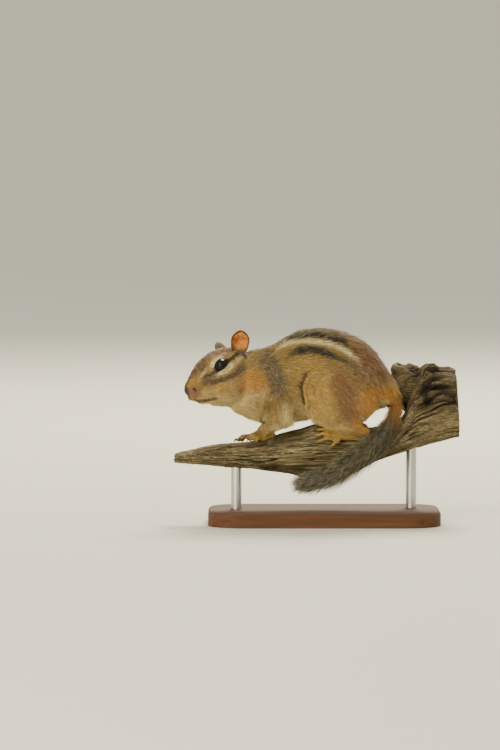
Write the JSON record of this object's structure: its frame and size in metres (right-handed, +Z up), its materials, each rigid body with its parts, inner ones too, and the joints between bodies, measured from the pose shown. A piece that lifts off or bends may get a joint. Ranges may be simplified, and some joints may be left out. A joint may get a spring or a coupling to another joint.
{
  "type": "chipmunk model",
  "caption": "Life-size eastern chipmunk crouching on a short broken branch, head turned a little, tail hanging below it, on a plain display stand.",
  "frame": {"origin": "middle of the stand's underside, on the floor", "axes": "+Z up; the animal faces -X with its left side towards -Y; the branch runs along X"},
  "size_m": [0.1636, 0.074, 0.1119],
  "materials": {
    "fur": "short grizzled brown coat with dark and cream stripes, cream below",
    "tail_fur": "long dark hair with pale tips",
    "ear_skin": "thin bare skin with fine hair",
    "eye": "black, polished and wet-looking",
    "paw_skin": "thinly haired, with pale toes and dark claws",
    "weathered_wood": "weathered, split along the grain, no bark",
    "stained_wood": "dark stain, satin",
    "rod_steel": "brushed"
  },
  "bodies": {
    "root": {"head": "fur", "neck": "fur", "torso": "fur", "left_foreleg": "fur", "right_foreleg": "fur", "left_hind_leg": "fur", "right_hind_leg": "fur", "tail_upper": "tail_fur", "tail_lower": "tail_fur", "left_ear": "ear_skin", "right_ear": "ear_skin", "left_eye": "eye", "right_eye": "eye", "left_forepaw": "paw_skin", "right_forepaw": "paw_skin", "left_hind_foot": "paw_skin", "right_hind_foot": "paw_skin", "perch_branch": "weathered_wood", "stand_base": "stained_wood", "stand_rod_front": "rod_steel", "stand_rod_rear": "rod_steel"}
  },
  "joints": []
}
